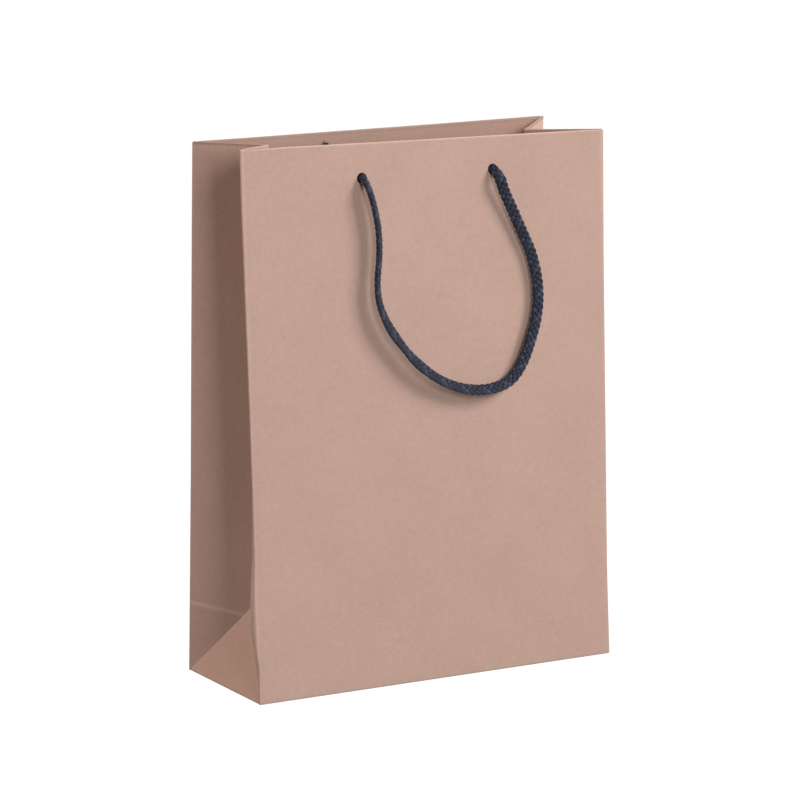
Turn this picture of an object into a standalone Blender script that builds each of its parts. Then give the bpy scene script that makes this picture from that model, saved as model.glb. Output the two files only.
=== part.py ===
"""Kraft-paper gift bag with a block bottom, side gussets and two knotted rope handles.

Metres, +Z up, +X to the bag's right, -Y to its front. The origin is the centre of the base.
The paper is one folded sheet: every panel between two creases is its own object, and each
object that moves hangs from an empty that stands on its crease or on its handle's axis.
"""
import math

import bmesh
import bpy
from mathutils import Matrix, Vector

# Driving dimensions of the bag
WIDTH = 0.180
DEPTH = 0.070
HEIGHT = 0.240
MOUTH_DEPTH = 0.050
PAPER = 0.0004
CARD = 0.0005
BOARD = 0.0008
GAP = 0.0003

# Turned-in top and the parts inside it
HEM_HEIGHT = 0.035
HEM_SIDE_INSET = 0.012
CARD_HEIGHT = 0.032
CARD_TOP_INSET = 0.001
GUSSET_HEM_START = 0.0065
GUSSET_HEM_INSET = 0.0008

# Side gussets and the lower triangles, whose lean is seen when the bag stands open
TRIANGLE_LEAN = math.radians(22)
DIAGONAL_CLEARANCE = 0.0011
CREASE_CLEARANCE_BOTTOM = 0.0017
CREASE_CLEARANCE_TOP = 0.0004
HINGE_OFFSET = 0.0003
TRIANGLE_TIP = 0.0006
GUSSET_ROWS = 8
GUSSET_COLUMNS = 4

# Bottom flaps, folded one over the other under the board
FLAP_END_INSET = 0.0018
FLAP_SIDE_INSET = 0.0010
FRONT_FLAP_REACH = 0.015
BACK_FLAP_REACH = 0.014
BACK_FLAP_STEP = (0.0008, 0.0025)
SHORT_FLAP_LENGTH = 0.044
SHORT_FLAP_TAPER = 0.006
SHORT_FLAP_INSET = 0.0005
BOARD_END_INSET = 0.0028
BOARD_SIDE_INSET = 0.0015

# Glue flap of the tube's one seam, on the back panel's inner face
SEAM_INSET = 0.0125
SEAM_WIDTH = 0.015
SEAM_BOTTOM = 0.012
SEAM_TOP_GAP = 0.001

# Handles: plain punched holes, rope, knots
HOLE_X = 0.033
HOLE_HEIGHT = 0.2254
HOLE_RADIUS = 0.0030
PUNCH_LENGTH = 0.020
PUNCH_SIDES = 24
ROPE_DIAMETER = 0.0050
ROPE_CORE_RADIUS = 0.0024
ROPE_POINT_SPACING = 2.2 * ROPE_DIAMETER
HANDLE_AXIS_OUT = 0.0052
HANDLE_AXIS_HEIGHT = 0.2244
KNOT_DEPTH = 0.0064
KNOT_RADII = (0.0058, 0.0041, 0.0052)
TAIL_LENGTH = 0.015
TAIL_SPREAD = 0.002
TAIL_RADIUS = 0.0022
STUB_RADIUS = 0.0023
ROD_SIDES = 12
BALL_SEGMENTS = (16, 10)

FRONT = -1
BACK = 1
LEFT = -1
RIGHT = 1

LEAN = math.asin((DEPTH - MOUTH_DEPTH) / 2 / HEIGHT)
HINGE_X = WIDTH / 2 - PAPER / 2
HINGE_DEPTH = PAPER + GAP

# The front rope's centreline below its axis: across, out from the panel's face, up the panel
ROPE_ROUTE = [
    (-0.0320, 0.0046, 0.2208),
    (-0.0307, 0.0052, 0.2160),
    (-0.0293, 0.0055, 0.2095),
    (-0.0283, 0.0058, 0.2005),
    (-0.0286, 0.0060, 0.1905),
    (-0.0298, 0.0062, 0.1805),
    (-0.0291, 0.0062, 0.1715),
    (-0.0254, 0.0062, 0.1620),
    (-0.0193, 0.0062, 0.1530),
    (-0.0108, 0.0062, 0.1434),
    (0.0000, 0.0061, 0.1353),
    (0.0103, 0.0060, 0.1308),
    (0.0196, 0.0059, 0.1289),
    (0.0287, 0.0057, 0.1291),
    (0.0370, 0.0054, 0.1320),
    (0.0430, 0.0051, 0.1385),
    (0.0474, 0.0048, 0.1475),
    (0.0511, 0.0044, 0.1577),
    (0.0527, 0.0040, 0.1680),
    (0.0520, 0.0037, 0.1780),
    (0.0494, 0.0036, 0.1880),
    (0.0449, 0.0036, 0.1978),
    (0.0397, 0.0039, 0.2085),
    (0.0358, 0.0043, 0.2165),
    (0.0342, 0.0046, 0.2208),
]
# The rear rope hangs a little straighter than the front one
BACK_ROPE_STRAIGHTEN = 0.6
CURVE_STEPS = 12


def clear_scene():
    for obj in list(bpy.data.objects):
        bpy.data.objects.remove(obj, do_unlink=True)


def material(name, color, roughness):
    mat = bpy.data.materials.new(name)
    mat.use_nodes = True
    shader = mat.node_tree.nodes["Principled BSDF"]
    shader.inputs["Base Color"].default_value = (*color, 1.0)
    shader.inputs["Roughness"].default_value = roughness
    shader.inputs["Metallic"].default_value = 0.0
    return mat


def wall_point(side, x, depth, height):
    """A point on a leaning wall: depth runs inward from its outer face, height up the panel."""
    across = DEPTH / 2 - height * math.sin(LEAN) - depth * math.cos(LEAN)
    return Vector((x, side * across, height * math.cos(LEAN) - depth * math.sin(LEAN)))


def gusset_angle(height):
    """How far a gusset half is folded in at a height, so that its two halves meet in the middle."""
    meeting = math.acos(1.0 - height * math.sin(LEAN) / (DEPTH / 2))
    return max(TRIANGLE_LEAN, meeting)


def crease_clearance(height):
    share = height / HEIGHT
    taper = CREASE_CLEARANCE_TOP - CREASE_CLEARANCE_BOTTOM
    return CREASE_CLEARANCE_BOTTOM + taper * share


def gusset_width(height):
    """Length of a gusset half from its hinge line to the middle crease, less the clearance there."""
    middle = (DEPTH / 2 - height * math.sin(LEAN) - crease_clearance(height)) / math.cos(LEAN)
    return (middle - HINGE_DEPTH) / math.cos(gusset_angle(height))


def gusset_point(side, end, along, height, lift):
    """A point of a gusset half: along from its hinge line, lift from its outer face into the bag."""
    angle = gusset_angle(height)
    inset = along * math.sin(angle) + lift * math.cos(angle)
    depth = HINGE_DEPTH + along * math.cos(angle) - lift * math.sin(angle)
    return wall_point(side, end * (WIDTH / 2 - inset), depth, height)


def pivot(name, location):
    """An empty on a crease or a handle's axis, which the pieces that move there hang from."""
    empty = bpy.data.objects.new(name, None)
    empty.empty_display_size = 0.01
    empty.location = location
    bpy.context.collection.objects.link(empty)
    return empty


def add_object(name, data, parent, mat):
    obj = bpy.data.objects.new(name, data)
    data.materials.append(mat)
    bpy.context.collection.objects.link(obj)
    if parent is not None:
        obj.parent = parent
    return obj


def mesh_object(name, bm, parent, mat, smooth=False):
    """Turns a bmesh in world coordinates into an object whose origin is its parent empty's."""
    bmesh.ops.recalc_face_normals(bm, faces=bm.faces)
    if parent is not None:
        bmesh.ops.translate(bm, verts=bm.verts, vec=-parent.location)
    mesh = bpy.data.meshes.new(name)
    bm.to_mesh(mesh)
    bm.free()
    if smooth:
        mesh.shade_smooth()
    return add_object(name, mesh, parent, mat)


def sheet(name, outer, inner, parent, mat):
    """A closed sheet between two grids of points that have the same rows and columns."""
    bm = bmesh.new()
    rows = len(outer)
    columns = len(outer[0])
    top = [[bm.verts.new(p) for p in row] for row in outer]
    under = [[bm.verts.new(p) for p in row] for row in inner]
    for r in range(rows - 1):
        for c in range(columns - 1):
            bm.faces.new((top[r][c], top[r][c + 1], top[r + 1][c + 1], top[r + 1][c]))
            bm.faces.new((under[r][c], under[r + 1][c], under[r + 1][c + 1], under[r][c + 1]))
    for c in range(columns - 1):
        for r, step in ((0, 1), (rows - 1, -1)):
            first, second = (c, c + 1) if step == 1 else (c + 1, c)
            bm.faces.new((top[r][second], top[r][first], under[r][first], under[r][second]))
    for r in range(rows - 1):
        for c, step in ((0, 1), (columns - 1, -1)):
            first, second = (r, r + 1) if step == 1 else (r + 1, r)
            bm.faces.new((top[first][c], top[second][c], under[second][c], under[first][c]))
    if columns > 2:
        bmesh.ops.triangulate(bm, faces=[f for f in bm.faces if len(f.verts) == 4])
    return mesh_object(name, bm, parent, mat)


def wall_strip(name, side, x_range, depth_range, height_range, parent, mat):
    """A flat strip that lies along a wall."""
    grids = []
    for depth in depth_range:
        grids.append([[wall_point(side, x, depth, h) for x in x_range] for h in height_range])
    return sheet(name, grids[0], grids[1], parent, mat)


def level_slab(name, outline, bottom, thickness, mat):
    """A level slab with the given outline, for the pieces of the base."""
    bm = bmesh.new()
    face = bm.faces.new([bm.verts.new((x, y, bottom)) for x, y in outline])
    made = bmesh.ops.extrude_face_region(bm, geom=[face])
    raised = [v for v in made["geom"] if isinstance(v, bmesh.types.BMVert)]
    bmesh.ops.translate(bm, verts=raised, vec=(0, 0, thickness))
    return mesh_object(name, bm, None, mat)


def hole_cutters(side, parent):
    """The two punches that cut the handle holes of one wall."""
    cutters = []
    for end in (LEFT, RIGHT):
        bm = bmesh.new()
        bmesh.ops.create_cone(bm, segments=PUNCH_SIDES, radius1=HOLE_RADIUS,
                              radius2=HOLE_RADIUS, depth=PUNCH_LENGTH, cap_ends=True)
        centre = wall_point(side, end * HOLE_X, 0.0, HOLE_HEIGHT)
        turn = Matrix.Rotation(math.radians(90) + side * LEAN, 4, "X")
        bmesh.ops.transform(bm, matrix=Matrix.Translation(centre) @ turn, verts=bm.verts)
        wall_name = "front" if side == FRONT else "back"
        end_name = "left" if end == LEFT else "right"
        punch = mesh_object(f"{wall_name}_{end_name}_punch", bm, parent, PUNCH_MATERIAL)
        punch.hide_render = True
        punch.display_type = "WIRE"
        cutters.append(punch)
    return cutters


def punch_holes(obj, cutters):
    for cutter in cutters:
        cut = obj.modifiers.new("handle_hole", "BOOLEAN")
        cut.operation = "DIFFERENCE"
        cut.solver = "EXACT"
        cut.object = cutter


def build_base(paper, card):
    half_x = WIDTH / 2 - FLAP_END_INSET
    half_y = DEPTH / 2 - FLAP_SIDE_INSET
    front_outline = [(-half_x, -half_y), (half_x, -half_y),
                     (half_x, FRONT_FLAP_REACH), (-half_x, FRONT_FLAP_REACH)]
    level_slab("bottom_front_flap", front_outline, 0.0, PAPER, paper)

    # The back flap steps up over the front flap's edge
    lifted = PAPER + GAP
    step_start = FRONT_FLAP_REACH + BACK_FLAP_STEP[0]
    step_end = FRONT_FLAP_REACH + BACK_FLAP_STEP[1]
    profile = [(-BACK_FLAP_REACH, lifted), (step_start, lifted), (step_end, 0.0), (half_y, 0.0)]
    under = [[Vector((x, y, z)) for x in (-half_x, half_x)] for y, z in profile]
    over = [[p + Vector((0, 0, PAPER)) for p in row] for row in under]
    sheet("bottom_back_flap", under, over, None, paper)

    short_bottom = 2 * (PAPER + GAP)
    short_y = half_y - SHORT_FLAP_INSET
    for end, name in ((LEFT, "bottom_left_flap"), (RIGHT, "bottom_right_flap")):
        inner_x = half_x - SHORT_FLAP_LENGTH
        outline = [(end * half_x, -short_y), (end * half_x, short_y),
                   (end * inner_x, half_y - SHORT_FLAP_TAPER),
                   (end * inner_x, -half_y + SHORT_FLAP_TAPER)]
        level_slab(name, outline, short_bottom, PAPER, paper)

    board_x = WIDTH / 2 - BOARD_END_INSET
    board_y = DEPTH / 2 - BOARD_SIDE_INSET
    board_outline = [(-board_x, -board_y), (board_x, -board_y), (board_x, board_y),
                     (-board_x, board_y)]
    level_slab("bottom_board", board_outline, 3 * (PAPER + GAP), BOARD, card)


def build_bottom_gusset(end, paper):
    """The lower triangle of one side, between the base's side edge and the two diagonals."""
    name = "left_bottom_gusset" if end == LEFT else "right_bottom_gusset"
    parent = pivot(f"{name}_crease", (end * HINGE_X, 0.0, GAP))
    half = DEPTH / 2 - HINGE_DEPTH - DIAGONAL_CLEARANCE

    def point(across, up, lift):
        inset = up * math.sin(TRIANGLE_LEAN) + lift * math.cos(TRIANGLE_LEAN)
        height = GAP + up * math.cos(TRIANGLE_LEAN) - lift * math.sin(TRIANGLE_LEAN)
        return Vector((end * (WIDTH / 2 - inset), across, height))

    rows = ((-half, half, 0.0), (-TRIANGLE_TIP, TRIANGLE_TIP, half - TRIANGLE_TIP))
    grids = []
    for lift in (0.0, PAPER):
        grids.append([[point(a, up, lift), point(b, up, lift)] for a, b, up in rows])
    sheet(name, grids[0], grids[1], parent, paper)


def build_gusset_half(side, end, paper):
    """One half of a side gusset, with its turned-in hem at the top."""
    end_name = "left" if end == LEFT else "right"
    side_name = "front" if side == FRONT else "rear"
    name = f"{end_name}_{side_name}_gusset"
    parent = pivot(f"{name}_crease", wall_point(side, end * HINGE_X, HINGE_DEPTH, 0.0))
    columns = [c / GUSSET_COLUMNS for c in range(GUSSET_COLUMNS + 1)]
    rows = [r / GUSSET_ROWS for r in range(GUSSET_ROWS + 1)]

    def grid(lift, first, inset, height_at):
        points = []
        for r in rows:
            row = []
            for c in columns:
                guess = first + c * (DEPTH / 2 - first)
                height = height_at(guess, r)
                last = gusset_width(height) - inset
                along = first + c * (last - first)
                row.append(gusset_point(side, end, along, height, lift))
            points.append(row)
        return points

    def body_height(along, r):
        # The diagonal crease, seen in a half that is folded in by the triangle's own lean
        lowest = along * math.cos(TRIANGLE_LEAN) ** 2 + DIAGONAL_CLEARANCE
        return lowest + r * (HEIGHT - lowest)

    def hem_height(_along, r):
        return HEIGHT - HEM_HEIGHT * (1 - r)

    sheet(name, grid(0.0, HINGE_OFFSET, 0.0, body_height),
          grid(PAPER, HINGE_OFFSET, 0.0, body_height), parent, paper)
    hem_lift = PAPER + GAP
    sheet(f"{name}_hem", grid(hem_lift, GUSSET_HEM_START, GUSSET_HEM_INSET, hem_height),
          grid(hem_lift + PAPER, GUSSET_HEM_START, GUSSET_HEM_INSET, hem_height), parent, paper)


def build_knot(side, end, parent, rope):
    """The knot inside the wall, with its stub through the hole and its short tail."""
    side_name = "front" if side == FRONT else "back"
    end_name = "left" if end == LEFT else "right"
    tilt = Matrix.Rotation(side * LEAN, 4, "X")
    centre = wall_point(side, end * HOLE_X, KNOT_DEPTH, HOLE_HEIGHT)

    ball = bmesh.new()
    bmesh.ops.create_uvsphere(ball, u_segments=BALL_SEGMENTS[0], v_segments=BALL_SEGMENTS[1],
                              radius=1.0)
    bmesh.ops.scale(ball, vec=KNOT_RADII, verts=ball.verts)
    bmesh.ops.transform(ball, matrix=Matrix.Translation(centre) @ tilt, verts=ball.verts)
    knot = mesh_object(f"{side_name}_{end_name}_knot", ball, parent, rope, smooth=True)

    def rod(name, radius, start, finish):
        axis = finish - start
        bm = bmesh.new()
        bmesh.ops.create_cone(bm, segments=ROD_SIDES, radius1=radius, radius2=radius,
                              depth=axis.length, cap_ends=True)
        turn = axis.to_track_quat("Z", "Y").to_matrix().to_4x4()
        middle = Matrix.Translation((start + finish) / 2)
        bmesh.ops.transform(bm, matrix=middle @ turn, verts=bm.verts)
        part = mesh_object(name, bm, parent, rope)
        part.hide_render = True
        part.display_type = "WIRE"
        join = knot.modifiers.new(name, "BOOLEAN")
        join.operation = "UNION"
        join.solver = "EXACT"
        join.object = part

    hole = wall_point(side, end * HOLE_X, 0.0, HOLE_HEIGHT)
    rod(f"{side_name}_{end_name}_stub_core", STUB_RADIUS, hole, centre)
    tail_end = wall_point(side, end * (HOLE_X + TAIL_SPREAD), KNOT_DEPTH,
                          HOLE_HEIGHT - TAIL_LENGTH)
    rod(f"{side_name}_{end_name}_tail_core", TAIL_RADIUS, centre, tail_end)


def build_wall(side, paper, card, rope):
    """Front or back panel with its hem, card strip and knots."""
    side_name = "front" if side == FRONT else "back"
    parent = pivot(f"{side_name}_wall_crease", wall_point(side, 0.0, PAPER / 2, GAP))
    cutters = hole_cutters(side, parent)
    half = WIDTH / 2
    panel = wall_strip(f"{side_name}_panel", side, (-half, half), (0.0, PAPER), (GAP, HEIGHT),
                       parent, paper)
    inner_half = half - HEM_SIDE_INSET
    card_start = PAPER + GAP
    card_top = HEIGHT - CARD_TOP_INSET
    strip = wall_strip(f"{side_name}_top_card", side, (-inner_half, inner_half),
                       (card_start, card_start + CARD), (card_top - CARD_HEIGHT, card_top),
                       parent, card)
    hem_start = card_start + CARD + GAP
    hem = wall_strip(f"{side_name}_top_hem", side, (-inner_half, inner_half),
                     (hem_start, hem_start + PAPER), (HEIGHT - HEM_HEIGHT, HEIGHT), parent, paper)
    for layer in (panel, strip, hem):
        punch_holes(layer, cutters)
    for end in (LEFT, RIGHT):
        build_knot(side, end, parent, rope)
    return parent


def build_seam_flap(parent, paper):
    """The glue flap of the tube, behind the back panel's right edge and below its hem."""
    right = WIDTH / 2 - SEAM_INSET
    start = PAPER + GAP
    top = HEIGHT - HEM_HEIGHT - SEAM_TOP_GAP
    wall_strip("side_seam_flap", BACK, (right - SEAM_WIDTH, right), (start, start + PAPER),
               (SEAM_BOTTOM, top), parent, paper)


def smooth_curve(points, spacing):
    """Points at an even spacing along a Catmull-Rom curve through the given ones."""
    padded = [points[0] * 2 - points[1]] + points + [points[-1] * 2 - points[-2]]
    fine = []
    for i in range(1, len(padded) - 2):
        a, b, c, d = padded[i - 1:i + 3]
        for k in range(CURVE_STEPS):
            t = k / CURVE_STEPS
            fine.append(0.5 * (2 * b + (c - a) * t + (2 * a - 5 * b + 4 * c - d) * t ** 2
                               + (3 * b - a - 3 * c + d) * t ** 3))
    fine.append(points[-1])
    length = sum((q - p).length for p, q in zip(fine, fine[1:]))
    count = max(2, round(length / spacing))
    result = [fine[0]]
    travelled = 0.0
    for p, q in zip(fine, fine[1:]):
        step = (q - p).length
        while travelled + step >= length * len(result) / count and len(result) < count:
            share = (length * len(result) / count - travelled) / step
            result.append(p.lerp(q, share))
        travelled += step
    result.append(fine[-1])
    return result


def build_handle(side, rope):
    """A rope handle, from just under one hole to just under the other, hanging down the wall."""
    side_name = "front" if side == FRONT else "back"
    axis = wall_point(side, 0.0, -HANDLE_AXIS_OUT, HANDLE_AXIS_HEIGHT)
    parent = pivot(f"{side_name}_handle_axis", axis)
    route = []
    for (x, out, height), (mirror_x, _, _) in zip(ROPE_ROUTE, reversed(ROPE_ROUTE)):
        if side == BACK:
            x = x + (-mirror_x - x) / 2 * BACK_ROPE_STRAIGHTEN
        route.append(wall_point(side, x, -out, height))
    points = smooth_curve(route, ROPE_POINT_SPACING)

    curve = bpy.data.curves.new(f"{side_name}_handle_rope", "CURVE")
    curve.dimensions = "3D"
    curve.bevel_depth = ROPE_CORE_RADIUS
    curve.bevel_resolution = 2
    curve.use_fill_caps = True
    spline = curve.splines.new("POLY")
    spline.points.add(len(points) - 1)
    for target, point in zip(spline.points, points):
        target.co = (*(point - axis), 1.0)
    add_object(f"{side_name}_handle_rope", curve, parent, rope)


clear_scene()
PUNCH_MATERIAL = material("punch", (0.5, 0.5, 0.5), 0.5)
kraft = material("kraft_paper", (0.53, 0.37, 0.31), 0.85)
greyboard = material("grey_card", (0.45, 0.42, 0.38), 0.90)
navy_rope = material("navy_rope", (0.015, 0.02, 0.05), 0.90)

build_base(kraft, greyboard)
for gusset_end in (LEFT, RIGHT):
    build_bottom_gusset(gusset_end, kraft)
    for wall_side in (FRONT, BACK):
        build_gusset_half(wall_side, gusset_end, kraft)
build_wall(FRONT, kraft, greyboard, navy_rope)
back_wall_crease = build_wall(BACK, kraft, greyboard, navy_rope)
build_seam_flap(back_wall_crease, kraft)
for wall_side in (FRONT, BACK):
    build_handle(wall_side, navy_rope)
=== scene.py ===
"""Kraft-paper gift bag: the looks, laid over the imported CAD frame.

Every paper panel is a folded sheet with its own thickness, rolled creases and a turned-in
top. The handles are braided cords that pass through punched holes into overhand knots.
"""
import math

import bmesh
import bpy
import numpy as np
from mathutils import Matrix, Quaternion, Vector


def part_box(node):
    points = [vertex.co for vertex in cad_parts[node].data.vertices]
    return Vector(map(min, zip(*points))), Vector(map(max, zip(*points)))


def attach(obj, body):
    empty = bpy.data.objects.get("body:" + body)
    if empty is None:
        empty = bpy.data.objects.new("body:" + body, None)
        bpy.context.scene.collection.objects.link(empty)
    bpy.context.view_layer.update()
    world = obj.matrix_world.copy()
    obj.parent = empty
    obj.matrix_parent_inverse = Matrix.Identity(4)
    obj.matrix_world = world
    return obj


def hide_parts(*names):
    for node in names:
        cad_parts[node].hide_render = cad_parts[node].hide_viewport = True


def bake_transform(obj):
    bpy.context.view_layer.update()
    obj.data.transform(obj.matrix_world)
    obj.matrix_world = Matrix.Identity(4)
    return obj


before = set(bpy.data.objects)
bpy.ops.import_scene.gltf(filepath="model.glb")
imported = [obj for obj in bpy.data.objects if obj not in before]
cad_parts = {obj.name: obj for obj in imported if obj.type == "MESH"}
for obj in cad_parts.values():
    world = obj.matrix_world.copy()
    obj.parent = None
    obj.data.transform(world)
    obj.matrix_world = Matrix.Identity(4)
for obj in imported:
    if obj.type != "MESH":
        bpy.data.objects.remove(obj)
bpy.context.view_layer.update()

FRONT = -1
BACK = 1
LEFT = -1
RIGHT = 1
SIDE_NAMES = {FRONT: "front", BACK: "back"}
END_NAMES = {LEFT: "left", RIGHT: "right"}

# Sheet thicknesses and gaps of the CAD pieces
PAPER = 0.0004
CARD = 0.0005
GAP = 0.0003
HINGE_DEPTH = PAPER + GAP

# The bag's overall shape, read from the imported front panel
panel_low, panel_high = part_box("front_panel")
WIDTH = panel_high.x - panel_low.x
HALF_DEPTH = -panel_low.y
MOUTH_HALF = -panel_high.y + PAPER
LEAN = math.atan2(HALF_DEPTH - MOUTH_HALF, panel_high.z)
HEIGHT = math.hypot(panel_high.z, HALF_DEPTH - MOUTH_HALF)

# Handle holes and ropes
HOLE_X = 0.033
HOLE_HEIGHT = 0.2254
HOLE_RADIUS = 0.0024


def wall(side, x, depth, height):
    """Points on a leaning wall: depth runs inward from its outer face, height up the panel."""
    x, depth, height = np.broadcast_arrays(x, depth, height)
    across = HALF_DEPTH - height * math.sin(LEAN) - depth * math.cos(LEAN)
    up = height * math.cos(LEAN) - depth * math.sin(LEAN)
    return np.stack([x, side * across, up], axis=-1)


def smoothstep(low, high, value):
    t = np.clip((np.asarray(value, float) - low) / (high - low), 0.0, 1.0)
    return t * t * (3 - 2 * t)


def unit(vectors):
    return vectors / np.maximum(np.linalg.norm(vectors, axis=-1, keepdims=True), 1e-12)


def smoothed(values, window):
    """Values evened out over an odd number of samples."""
    kernel = np.hanning(window) / np.hanning(window).sum()
    return np.convolve(np.pad(values, window // 2, mode="edge"), kernel, mode="valid")


def add_object(name, data):
    obj = bpy.data.objects.new(name, data)
    bpy.context.scene.collection.objects.link(obj)
    return obj


def put(node, **values):
    """Sets a node's inputs by name, with an underscore for each space."""
    for name, value in values.items():
        node.inputs[name.replace("_", " ")].default_value = value


def stand_off(obj, target, azimuth, elevation, distance, roll=0.0):
    """Places a camera or a light at a distance from what it looks at; angles in degrees."""
    a, e = math.radians(azimuth), math.radians(elevation)
    out = Vector((math.sin(a) * math.cos(e), -math.cos(a) * math.cos(e), math.sin(e)))
    obj.location = target + out * distance
    obj.rotation_mode = "QUATERNION"
    rolled = Quaternion((0, 0, 1), math.radians(roll))
    obj.rotation_quaternion = (-out).to_track_quat("-Z", "Y") @ rolled


def stands_for(node_name):
    """The piece takes the place of one CAD node, which is hidden."""
    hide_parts(node_name)


# ------------------------ camera and cords first

CAMERA_TARGET = Vector((0.0, 0.0, 0.1207))
CAMERA_AZIMUTH = -29.33
CAMERA_ELEVATION = 10.38
CAMERA_ROLL = -0.23
CAMERA_DISTANCE = 1.581
CAMERA_LENS = 158.8


def make_camera():
    data = bpy.data.cameras.new("camera")
    data.lens = CAMERA_LENS
    data.sensor_width = 36.0
    data.clip_start, data.clip_end = 0.05, 100.0
    camera = add_object("camera", data)
    stand_off(camera, CAMERA_TARGET, CAMERA_AZIMUTH, CAMERA_ELEVATION, CAMERA_DISTANCE,
              CAMERA_ROLL)
    bpy.context.scene.camera = camera


# The front rope's centreline below its holes: across, out from the panel's face, up the panel
ROPE_ROUTE = [
    (-0.0330, -0.0008, 0.2254), (-0.0330, 0.0012, 0.2252), (-0.0327, 0.0032, 0.2236),
    (-0.0320, 0.0046, 0.2208), (-0.0307, 0.0052, 0.2160), (-0.0293, 0.0055, 0.2095),
    (-0.0283, 0.0058, 0.2005), (-0.0286, 0.0060, 0.1905), (-0.0298, 0.0062, 0.1805),
    (-0.0291, 0.0062, 0.1715), (-0.0254, 0.0062, 0.1620), (-0.0193, 0.0062, 0.1530),
    (-0.0108, 0.0062, 0.1434), (0.0000, 0.0061, 0.1353), (0.0103, 0.0060, 0.1308),
    (0.0196, 0.0059, 0.1289), (0.0287, 0.0057, 0.1291), (0.0370, 0.0054, 0.1320),
    (0.0430, 0.0051, 0.1385), (0.0474, 0.0048, 0.1475), (0.0511, 0.0044, 0.1577),
    (0.0527, 0.0040, 0.1680), (0.0520, 0.0037, 0.1780), (0.0494, 0.0036, 0.1880),
    (0.0449, 0.0036, 0.1978), (0.0397, 0.0039, 0.2085), (0.0358, 0.0043, 0.2165),
    (0.0342, 0.0046, 0.2208), (0.0333, 0.0032, 0.2236), (0.0330, 0.0012, 0.2252),
    (0.0330, -0.0008, 0.2254),
]
# The rear rope hangs a little straighter than the front one, and is turned less
BACK_ROPE_STRAIGHTEN = 0.6
BACK_ROPE_TWIST = 0.6
# How far the flat rope is turned on edge along its length: share of the length, degrees
ROPE_TWIST = [(0.0, 50), (0.04, 60), (0.10, 63), (0.20, 61), (0.25, 44), (0.30, 26),
              (0.335, 50), (0.37, 24), (0.41, 36), (0.46, 36), (0.53, 30), (0.58, 18),
              (0.64, 24), (0.80, 28), (0.92, 30), (1.0, 45)]

TWIST_SMOOTHING = 31

# The braid: strands that run each way, the length of one turn, and the sections
BRAID_STRANDS = 4
BRAID_PITCH = 0.0112
BRAID_STEP = 0.00042
STRAND_SIDES = 8
ROPE_HALF_WIDE = 0.00174
ROPE_HALF_THICK = 0.00060
STRAND_HALF_WIDE = 0.00092
STRAND_HALF_THICK = 0.00050
BRAID_RIPPLE = 0.00042
# Near a hole the section is squeezed nearly round: half sizes, and where it begins and ends
SQUEEZED_WIDE = 0.00112
SQUEEZED_THICK = 0.00098
SQUEEZE_SPAN = (0.0008, 0.0075)
# The core inside the strands: sides, and shares of the rope's own section
CORE_SIDES = 12
CORE_WIDE = 0.9
CORE_THICK = 0.8
# Moves the yarn's pattern along, so that no two strands look the same
STRAND_SHIFT = 0.0137
WAY_SHIFT = 0.5
# Two points from the rope's hole toward the handle's swing axis: depth into the wall, height.
# make_rope works them out and then leaves them unused
BEND_START = (0.0005, HOLE_HEIGHT)
BEND_END = (-0.0052, HOLE_HEIGHT - 0.0055)

# The knots: radius of the ring, of the tube it winds round, and how deep behind the wall
KNOT_RING = 0.0031
KNOT_TUBE = 0.0013
KNOT_DEPTH = 0.0066
KNOT_OPENING = 0.42
KNOT_SIZE = 0.84


def distances(points):
    """How far along a path each of its points lies."""
    return np.concatenate([[0.0], np.cumsum(np.linalg.norm(np.diff(points, axis=0), axis=1))])


def smooth_path(points, spacing):
    """Evenly spaced points on a Catmull-Rom curve through the given ones."""
    points = np.asarray(points, float)
    padded = np.vstack([2 * points[0] - points[1], points, 2 * points[-1] - points[-2]])
    steps = 16
    t = (np.arange(steps) / steps)[:, None]
    runs = []
    for i in range(1, len(padded) - 2):
        a, b, c, d = padded[i - 1:i + 3]
        runs.append(0.5 * (2 * b + (c - a) * t + (2 * a - 5 * b + 4 * c - d) * t ** 2
                           + (3 * b - a - 3 * c + d) * t ** 3))
    fine = np.vstack(runs + [points[-1:]])
    travelled = distances(fine)
    count = max(2, round(travelled[-1] / spacing))
    wanted = np.linspace(0.0, travelled[-1], count + 1)
    return np.stack([np.interp(wanted, travelled, fine[:, k]) for k in range(3)], axis=1)


def carried_frames(path, start, normal):
    """Directions across the path that turn as little as they can, from a start point outward."""
    tangents = unit(np.gradient(path, axis=0))
    normals = np.zeros_like(path)
    first = normal - tangents[start] * np.dot(normal, tangents[start])
    normals[start] = unit(first)
    for order in (range(start + 1, len(path)), range(start - 1, -1, -1)):
        held = normals[start]
        for i in order:
            held = unit(held - tangents[i] * np.dot(held, tangents[i]))
            normals[i] = held
    return tangents, normals


def flat_uvs(u, v):
    """A grid's UVs: u for each point or for each column, and one v for each row."""
    return np.stack(np.broadcast_arrays(u, v[:, None]), axis=-1)


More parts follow.
